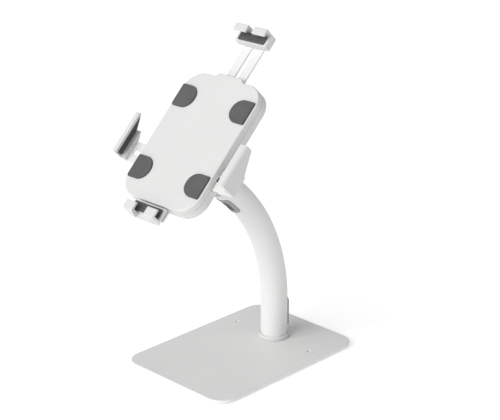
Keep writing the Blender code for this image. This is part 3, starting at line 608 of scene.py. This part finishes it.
def make_arm():
    """The bent tube with its two cable ports."""
    radius = span("arm_tube")[1].x
    low = span("arm_tube")[0].z
    bore = radius - TUBE_WALL
    sides, steps = 96, 64

    def ring(height, angle, size):
        """A ring of the tube: up the straight foot to a height, or at an angle along the bend."""
        centre = bend_point(angle) if angle else Vector((0, 0, height))
        across = Vector((0, math.cos(angle), math.sin(angle)))
        turns = [math.tau * step / sides for step in range(sides)]
        return [centre + (RIGHT * math.cos(turn) + across * math.sin(turn)) * size for turn in turns]

    bend = [BEND_ANGLE * step / steps for step in range(1, steps + 1)]
    straight = [low + (BEND_START - low) * step / 8 for step in range(9)]
    edge = 0.4 * MM
    outer = [ring(low, 0, radius - edge)] + [ring(max(z, low + edge), 0, radius) for z in straight]
    outer += [ring(0, angle, radius) for angle in bend]
    inner = [ring(0, angle, bore) for angle in reversed(bend)]
    inner += [ring(z, 0, bore) for z in reversed(straight)]
    tube = skin(outer + inner, closed=True)

    def on_foot(x, along, height):
        return Vector((x, math.sqrt((radius + height) ** 2 - x ** 2), REAR_PORT_HEIGHT + along))

    def on_bend(x, along, height):
        angle = ARM_PORT_ANGLE + along / (BEND_RADIUS - radius)
        return bend_point(angle, -math.sqrt((radius + height) ** 2 - x ** 2)) + RIGHT * x

    ports = (("rear_cable_outlet", REAR_PORT, on_foot), ("arm_cable_inlet", ARM_PORT, on_bend))
    for node, size, wrap in ports:
        put(node.replace("cable", "port"), skin(port_rings(size, port_section(size[2]), wrap), closed=True),
            WORLD, node, sharp=40)
        hole = [(PORT_NECK_INSET - GAP, height) for height in (3 * MM, -5 * MM)]
        tube = combine(tube, skin(port_rings(size, hole, wrap)))
    put("tube", tube, WORLD, "arm_tube", sharp=40)


def screw(head, height, shank, length, domed=True, thread=0.35 * MM):
    """A screw whose head's underside is at z = 0: a head with a hexagonal socket, and a threaded shank."""
    rim = 0.35  # share of the head's height below its dome, and below its socket
    top = [(0, height)]
    if domed:
        top += [(head * math.sin(turn), height * (rim + (1 - rim) * math.cos(turn)))
                for turn in (math.pi / 2 * step / 8 for step in range(1, 9))]
    else:
        top += eased([(0, height), (head, height, 0.15 * head), (head, 0)])[1:-1]
    points = top + [(head, 0), (shank, 0)]
    pitch = 0.8 * MM
    turns = int((length - 1.5 * MM) / pitch)
    for turn in range(turns):
        z = -1 * MM - turn * pitch
        points += [(shank, z), (shank - thread, z - pitch / 2)]
    points += [(shank * 0.9, -length + 0.4 * MM), (shank * 0.6, -length), (0, -length)]
    socket = slab([circle(0, 0, head * 0.5, 6)], height * rim, height + MM)
    return combine(turned(points, 40), socket)


def add_screw(node, place, head, height, shank, length, **shape):
    put(node + "_detail", screw(head, height, shank, length, **shape), place, node, sharp=30)


def make_head():
    """The fork at the tube's end, with the tilt bolt, its nut and washers, and the grub screw in the cap."""
    radius = span("arm_tube")[1].x
    low, high = span("arm_head", ARM_END)
    plug = radius - TUBE_WALL - 2 * GAP
    cap = turned(eased([(0, CAP_LENGTH), (radius, CAP_LENGTH, 0.9 * MM), (radius, GAP, 0.25 * MM),
                        (plug, GAP), (plug, low.z, 0.5 * MM), (0, low.z)]))
    arc = EAR_TIP * NEARLY_ROUND
    outline = rounded([(-EAR_FOOT, EAR_FOOT_HEIGHT), (EAR_FOOT, EAR_FOOT_HEIGHT), (EAR_TIP, high.z, arc),
                       (-EAR_TIP, high.z, arc)], 20)
    ears = [side_slab([outline], *sorted((side * EAR_INNER, side * high.x)), (0.8 * MM, 0.8 * MM), 4)
            for side in (-1, 1)]
    bore = side_slab([circle(0, PIVOT_REACH, HINGE_BORE)], -20 * MM, 20 * MM)
    screw_hole = turned([(0, 5 * MM), (GRUB_HOLE, 5 * MM), (GRUB_HOLE, -GRUB_HOLE_DEPTH),
                         (0, -GRUB_HOLE_DEPTH)], 32)
    screw_hole.transform(Matrix.Translation((0, radius, low.z / 2)) @ Matrix.Rotation(-math.pi / 2, 4, "X"))
    head = combine(union(cap, *ears), bore, screw_hole)
    put("head_fork", head, ARM_END, "arm_head", sharp=35)

    low, high = span("tilt_bolt", ARM_END)
    bolt_place = ARM_END @ axes(Vector((low.x, 0, PIVOT_REACH)), Vector((0, 1, 0)), Vector((0, 0, 1)), RIGHT)
    reach = high.x - low.x
    bolt = turned(eased([(0, 0), (BOLT_HEAD, 0, 0.9 * MM), (BOLT_HEAD, BOLT_HEAD_HEIGHT, 0.3 * MM),
                         (BOLT_SHANK, BOLT_HEAD_HEIGHT), (BOLT_SHANK, reach, 0.5 * MM), (0, reach)]), 64)
    socket = slab([circle(0, 0, BOLT_SOCKET, 6)], -MM, 3 * MM)
    put("pivot_bolt", combine(bolt, socket), bolt_place, "tilt_bolt")

    low, high = span("tilt_nut", ARM_END)
    nut_place = ARM_END @ axes(Vector((low.x, 0, PIVOT_REACH)), Vector((0, 1, 0)), Vector((0, 0, 1)), RIGHT)
    thick = high.x - low.x
    hexagon = slab([circle(0, 0, NUT_CORNER, 6)], 0, thick)
    crown = turned(eased([(0, thick), (NUT_CORNER * NUT_CROWN, thick), (NUT_CORNER, thick * NUT_CROWN),
                          (NUT_CORNER, 0), (0, 0)]), 64)
    bore = slab([circle(0, 0, NUT_BORE, 40)], -MM, thick + MM)
    nut = combine(combine(hexagon, crown, operation="INTERSECT"), bore)
    put("pivot_nut", nut, nut_place, "tilt_nut")

    for side in SIDES:
        node = f"tilt_washer_{side}"
        low, high = span(node, ARM_END)
        ring = side_slab([circle(0, PIVOT_REACH, high.y, 64), circle(0, PIVOT_REACH, HINGE_BORE)],
                         low.x, high.x, (0.25 * MM, 0.25 * MM), 3)
        put(f"pivot_washer_{side}", ring, ARM_END, node)

    low, high = span("arm_head_screw", ARM_END)
    middle = Vector((0, high.y, (low.z + high.z) / 2))
    place = ARM_END @ axes(middle, RIGHT, Vector((0, 0, -1)), Vector((0, 1, 0)))
    grub = turned(eased([(0, 0), (GRUB_RADIUS, 0, 0.3 * MM), (GRUB_RADIUS, -GRUB_LENGTH, 0.3 * MM),
                         (0, -GRUB_LENGTH)]), 40)
    put("head_grub_screw", combine(grub, slab([circle(0, 0, MM, 6)], -2 * MM, MM)), place, "arm_head_screw")


def make_tilt_bracket():
    """The bracket that tilts on the bolt: a web, and the flange and spindle that the holder turns on."""
    top = span("tilt_bracket", TILTING)[1].z
    front, rear = PIVOT_DEPTH - FLANGE_FRONT, PIVOT_DEPTH - FLANGE_REAR
    disc = turned(eased([(0, top), (SPINDLE_RADIUS, top, 0.5 * MM), (SPINDLE_RADIUS, front),
                         (FLANGE_RADIUS, front, 0.8 * MM), (FLANGE_RADIUS, rear, 1.2 * MM), (0, rear)]), 128)
    arc = WEB_BARREL * NEARLY_ROUND
    outline = rounded([(WEB_FOOT, rear + MM), (-WEB_FOOT, rear + MM), (-WEB_BARREL, -WEB_BARREL, arc),
                       (WEB_BARREL, -WEB_BARREL, arc)], 20)
    web = side_slab([outline], -WEB_HALF, WEB_HALF, (0.8 * MM, 0.8 * MM), 4)
    bore = side_slab([circle(0, 0, HINGE_BORE)], -20 * MM, 20 * MM)
    hole = slab([circle(0, 0, CENTRE_HOLE)], top - 20 * MM, top + MM)
    put("turning_bracket", combine(union(disc, web), bore, hole), TILTING, "tilt_bracket", sharp=35)
    low, high = span("rotor_washer", TILTING)
    ring = slab([circle(0, 0, high.x, 96), circle(0, 0, SPINDLE_RADIUS + GAP, 64)], low.z, high.z,
                (0.2 * MM, 0.2 * MM), 3)
    put("friction_ring", ring, TILTING, "rotor_washer")


# ---- holder


def pad_outline(low, high, side, grow=0.0):
    """A pad with its straight end out and a round end in, or the larger pocket that it sits in."""
    outer, inner = (low.x, high.x) if side < 0 else (high.x, low.x)
    outer, inner = outer + side * grow, inner - side * grow
    bottom, top = low.y - grow, high.y + grow
    curve = (top - bottom) / 2 - 0.5 * MM
    return rounded([(inner, bottom, curve), (outer, bottom, PAD_CORNER), (outer, top, PAD_CORNER),
                    (inner, top, curve)], 16)


def make_front_cover():
    """The front half of the housing, with a pocket for each pad, and the pads."""
    low, high = span("front_cover", HOLDER)
    mouth, shoulder = high.y, span("rear_cover", HOLDER)[1].y
    outline = rounded(mirrored([
        (high.x, low.y, COVER_CORNER), (high.x, shoulder, COVER_CORNER),
        (MOUTH_FOOT, shoulder, 3 * MM), (MOUTH_TOP, mouth, 2 * MM)]), 16)
    cover = slab([outline], low.z, high.z, (0.2 * MM, 1.6 * MM), 6)
    inner = rectangle(low.x + COVER_WALL, low.y + COVER_WALL, high.x - COVER_WALL, shoulder - COVER_WALL,
                      COVER_CORNER - COVER_WALL, 16)
    cuts = [slab([inner], low.z - 5 * MM, high.z - COVER_WALL)]
    for row in ("upper", "lower"):
        for name, side in SIDES.items():
            node = f"pad_{row}_{name}"
            pad_low, pad_high = span(node, HOLDER)
            floor = pad_low.z - GAP
            cuts.append(slab([pad_outline(pad_low, pad_high, side, GAP)], floor, high.z + 3 * MM))
            pad = slab([pad_outline(pad_low, pad_high, side)], pad_low.z, pad_high.z, (0.1 * MM, 0.9 * MM), 5)
            put(f"{node}_detail", pad, HOLDER, node)
    put("front_shell", combine(cover, *cuts), HOLDER, "front_cover")


def make_rear_cover():
    """The rear half of the housing, open for the spindle, the lock, the screws and the straps."""
    low, high = span("rear_cover", HOLDER)
    outline = rectangle(low.x, low.y, high.x, high.y, COVER_CORNER, 20)
    cover = slab([outline], low.z, high.z, (3 * MM, 0.2 * MM), 8)
    inner = inset(outline, COVER_WALL)
    floor = low.z + COVER_FLOOR
    rim = slab([circle(0, -AXIS_BELOW, SPINDLE_RIM, 96)], floor - MM, floor + 3 * MM)
    shell = union(combine(cover, slab([inner], floor, high.z + 5 * MM)), rim)
    cuts = [slab([circle(0, -AXIS_BELOW, SPINDLE_HOLE, 96)], low.z - 5 * MM, high.z),
            slab([circle(0, LOCK_HEIGHT, LOCK_HOLE, 64)], low.z - 5 * MM, high.z)]
    for number in range(1, 5):
        head_low, head_high = span(f"housing_screw_{number}", HOLDER)
        x, y = (head_low.x + head_high.x) / 2, (head_low.y + head_high.y) / 2
        well = turned([(0, -WELL_DEPTH), (WELL_RADIUS, -WELL_DEPTH), (WELL_RADIUS, -0.4 * MM),
                       (WELL_MOUTH, 0.2 * MM), (WELL_MOUTH, 2 * MM), (0, 2 * MM)], 48)
        well.transform(Matrix.Translation((x, y, low.z)) @ REARWARD)
        cuts.append(well)
        place = HOLDER @ Matrix.Translation((x, y, low.z + WELL_DEPTH)) @ REARWARD
        add_screw(f"housing_screw_{number}", place, 3 * MM, 1.6 * MM, 1.6 * MM, 11 * MM)
    strap_low, strap_high = span("top_strap", HOLDER)
    side_low, side_high = span("right_strap", HOLDER)
    foot_low, foot_high = span("bottom_bracket", HOLDER)
    top = strap_low.z - STRAP_ROOM
    notches = [(strap_low.x, high.y - 10 * MM, strap_high.x, high.y + 10 * MM),
               (low.x - 10 * MM, side_low.y, low.x + 8 * MM, side_high.y),
               (high.x - 8 * MM, side_low.y, high.x + 10 * MM, side_high.y),
               (foot_low.x, low.y - 10 * MM, foot_high.x, low.y + 8 * MM)]
    for left, bottom, right, upper in notches:
        outline = rectangle(left - NOTCH_ROOM, bottom - NOTCH_ROOM, right + NOTCH_ROOM, upper + NOTCH_ROOM)
        cuts.append(slab([outline], top, high.z + 5 * MM))
    put("rear_shell", combine(shell, *cuts), HOLDER, "rear_cover")


def make_lock():
    """The lock's ring and barrel, and the plug with its keyway that turns in it."""
    low, high = span("lock_body", HOLDER)
    y = (low.y + high.y) / 2
    face, shoulder = -low.z, -low.z - LOCK_RING
    ring = rounded([(LOCK_BORE, face, 0.3 * MM), (high.x, face, 0.7 * MM), (high.x, shoulder),
                    (LOCK_BARREL, shoulder), (LOCK_BARREL, -high.z), (LOCK_BORE, -high.z)], 5)
    place = HOLDER @ Matrix.Translation((0, y, 0)) @ REARWARD
    put("lock_ring", turned([tuple(point) for point in ring], 96, closed=True), place, "lock_body")
    low, high = span("lock_plug", HOLDER)
    radius, face, back = high.x, -low.z, -high.z
    plug = turned(eased([(0, face - 0.5 * MM), (radius * 0.62, face - 0.5 * MM), (radius * 0.7, face),
                         (radius, face, 0.4 * MM), (radius, back, 0.3 * MM), (0, back)]), 96)
    keyway = slab([rounded([(-KEY_HALF_WIDTH, -KEY_HALF_LENGTH), (KEY_HALF_WIDTH, -KEY_HALF_LENGTH),
                            (KEY_HALF_WIDTH, 0.6 * MM), (0.25 * MM, 1.1 * MM), (KEY_HALF_WIDTH, 1.6 * MM),
                            (KEY_HALF_WIDTH, KEY_HALF_LENGTH), (-KEY_HALF_WIDTH, KEY_HALF_LENGTH)])],
                  face - KEY_DEPTH, face + 2 * MM)
    put("lock_core", combine(plug, keyway), place, "lock_plug")


def strap_mesh(low, high, slot=None):
    """A flat strap with rounded corners, and a slot with round ends if its box is given."""
    blank = rectangle(low.x, low.y, high.x, high.y, STRAP_CORNER, 8)
    holes = [rectangle(*slot, STRAP_SLOT_HALF * 0.95, 10)] if slot else []
    return slab([blank, *holes], low.z, high.z, (0.35 * MM, 0.35 * MM), 3)


def hook_section(edge, lip, proud, outer, bulge):
    """Section of a hook in (height, z) for an arm that points up: lip, wall over the edge, rest behind it."""
    back, shelf = -COVER_SPLIT, edge - HOOK_LENGTH
    return [(lip, -LIP_REAR), (lip, proud, 0.8 * MM), (outer, proud, 1.4 * MM),
            (outer + bulge, -8 * MM, 6 * MM), (outer, back, 1.5 * MM), (shelf, back, MM),
            (shelf, -REST_FRONT), (edge, -REST_FRONT), (edge, -LIP_REAR)]


def rubber_strip(low, high, ribs):
    """A rubber liner with rounded edges and grooves across its face."""
    outline = rectangle(low.x, low.y, high.x, high.y, 2 * MM, 8)
    strip = slab([outline], low.z, high.z, (0.1 * MM, 0.35 * MM), 3)
    border, half = 1.5 * MM, 0.3 * MM
    pitch = (high.x - low.x - 2 * border) / ribs
    grooves = [slab([rectangle(x - half, low.y + border, x + half, high.y - border, 0.25 * MM, 4)],
                    high.z - 0.3 * MM, high.z + MM)
               for x in (low.x + border + pitch * (step + 0.5) for step in range(ribs))]
    return combine(strip, *grooves)


def make_top_arm():
    """The arm that slides up and down, with its clip of two hooks and its liner."""
    low, high = span("top_strap", HOLDER)
    slot = (-STRAP_SLOT_HALF, low.y + 8 * MM, STRAP_SLOT_HALF, TOP_SLOT_END)
    put("top_strap_detail", strap_mesh(low, high, slot), HOLDER, "top_strap")

    low, high = span("top_clip", HOLDER)
    section = rounded(hook_section(TABLET_TOP + LINER_GAP, TOP_LIP, high.z - ARC_ROOM, high.y - ARC_ROOM,
                                   0.01 * MM), 7)
    clip = side_slab([section], low.x, high.x)
    notch = slab([rectangle(-TOP_GAP_HALF, 100 * MM, TOP_GAP_HALF, 130 * MM)], -REST_FRONT, high.z + 3 * MM)
    put("top_hooks", softened(combine(clip, notch), CLIP_EDGE, 4, 40), HOLDER, "top_clip")
    low, high = span("top_liner", HOLDER)
    put("top_liner_detail", rubber_strip(low, high, 18), HOLDER, "top_liner")


def make_bottom_cradle():
    """The fixed bracket below the housing, with a cradle of two hooks and its liner."""
    low, high = span("bottom_bracket", HOLDER)
    put("bottom_bracket_detail", strap_mesh(low, high), HOLDER, "bottom_bracket")

    low, high = span("bottom_cradle", HOLDER)
    edge, half = TABLET_TOP + LINER_GAP, high.x
    hook = hook_section(edge, BOTTOM_LIP, high.z - ARC_ROOM, edge + CRADLE_WALL, CRADLE_BULGE)
    section = rounded([(-corner[0], *corner[1:]) for corner in hook], 8)
    cradle = side_slab([section], low.x, high.x)
    chin = rounded(mirrored([
        (CHIN_HALF, CHIN_LOW, 20 * MM), (half, CHIN_EDGE, 4 * MM), (half, -95 * MM)]), 16)
    plan = rounded(mirrored([(CRADLE_REAR_HALF, -COVER_SPLIT - MM), (CRADLE_REAR_HALF, -COVER_SPLIT),
                             (half, -11 * MM), (half, 10 * MM)]), 4)
    cradle = combine(cradle, slab([chin], -30 * MM, 10 * MM), end_slab([plan], -140 * MM, -80 * MM),
                     operation="INTERSECT")
    notch = slab([rectangle(-PLUG_GAP_HALF, -135 * MM, PLUG_GAP_HALF, -100 * MM)],
                 -REST_FRONT, high.z + 3 * MM)
    put("bottom_hooks", softened(combine(cradle, notch), CLIP_EDGE, 4, 40), HOLDER, "bottom_cradle")
    low, high = span("bottom_liner", HOLDER)
    put("bottom_liner_detail", rubber_strip(low, high, 20), HOLDER, "bottom_liner")


def make_side_arm(name, side):
    """A strap that slides out to a side, with its grip and liner. side is -1 on the left, 1 on the right."""
    low, high = span(f"{name}_strap", HOLDER)
    inner = low.x if side > 0 else high.x
    ends = sorted((inner + side * SIDE_SLOT_START, side * SIDE_SLOT_END))
    slot = (ends[0], SIDE_ARM_HEIGHT - STRAP_SLOT_HALF, ends[1], SIDE_ARM_HEIGHT + STRAP_SLOT_HALF)
    put(f"{name}_strap_detail", strap_mesh(low, high, slot), HOLDER, f"{name}_strap")

    low, high = span(f"{name}_grip", HOLDER)
    section = rounded([(side * corner[0], *corner[1:]) for corner in [
        (GRIP_LIP, -LIP_REAR), (GRIP_LIP, high.z, 0.8 * MM), (GRIP_OUTER, high.z, 5 * MM),
        (GRIP_OUTER, GRIP_REAR, 0.8 * MM), (GRIP_FOOT_OUTER, GRIP_REAR), (GRIP_FOOT_OUTER, -COVER_SPLIT),
        (GRIP_FOOT_INNER, -COVER_SPLIT), (GRIP_FOOT_INNER, GRIP_SHELF), (GRIP_WALL, GRIP_SHELF),
        (GRIP_WALL, -LIP_REAR)]], 7)
    grip = end_slab([section], low.y - 3 * MM, high.y + 3 * MM)
    side_view = rounded([
        (low.y, GRIP_FRONT, 1.5 * MM), (high.y, GRIP_FRONT, 2.5 * MM), (high.y, -7.5 * MM, 2 * MM),
        (-40 * MM, -18.4 * MM, 4 * MM), (-42 * MM, -22 * MM, 2 * MM), (low.y, -22 * MM, 2 * MM)], 12)
    grip = combine(grip, side_slab([side_view], -95 * MM, 95 * MM), operation="INTERSECT")
    put(f"{name}_grip_detail", softened(grip, CLIP_EDGE, 4, 40), HOLDER, f"{name}_grip")

    low, high = span(f"{name}_liner", HOLDER)
    outline = rounded([(low.y, high.z, MM), (high.y, high.z, MM), (high.y, -6.8 * MM, 2 * MM),
                       (-31 * MM, low.z, 2 * MM), (low.y, low.z, MM)], 8)
    rims = (0.1 * MM, 0.35 * MM) if side < 0 else (0.35 * MM, 0.1 * MM)
    put(f"{name}_liner_detail", side_slab([outline], low.x, high.x, rims, 3), HOLDER, f"{name}_liner")


def make_clip_screws():
    """Pan-head screws behind the straps, which hold the clips, grips and cradle."""
    nodes = [f"{arm}_{row}" for arm in ("left_grip_screw", "right_grip_screw") for row in ("upper", "lower")]
    nodes += [f"{arm}_{side}" for arm in ("top_clip_screw", "bottom_cradle_screw") for side in SIDES]
    for node in nodes:
        low, high = span(node, HOLDER)
        x, y = (low.x + high.x) / 2, (low.y + high.y) / 2
        place = HOLDER @ Matrix.Translation((x, y, low.z + 1.4 * MM)) @ REARWARD
        add_screw(node, place, (high.x - low.x) / 2, 1.4 * MM, 1.4 * MM, high.z - low.z - 1.5 * MM)


def finish_hidden_nodes():
    """Gives each CAD node that still shows its slot's material."""
    for name, thing in frame["nodes"].items():
        if thing.hide_render:
            continue
        thing.data.materials.clear()
        thing.data.materials.append(finish_of(name))


make_camera()
make_studio()
make_base()
make_arm()
make_head()
make_tilt_bracket()
make_front_cover()
make_rear_cover()
make_lock()
make_top_arm()
make_bottom_cradle()
for arm_name, arm_side in SIDES.items():
    make_side_arm(arm_name, arm_side)
make_clip_screws()
finish_hidden_nodes()
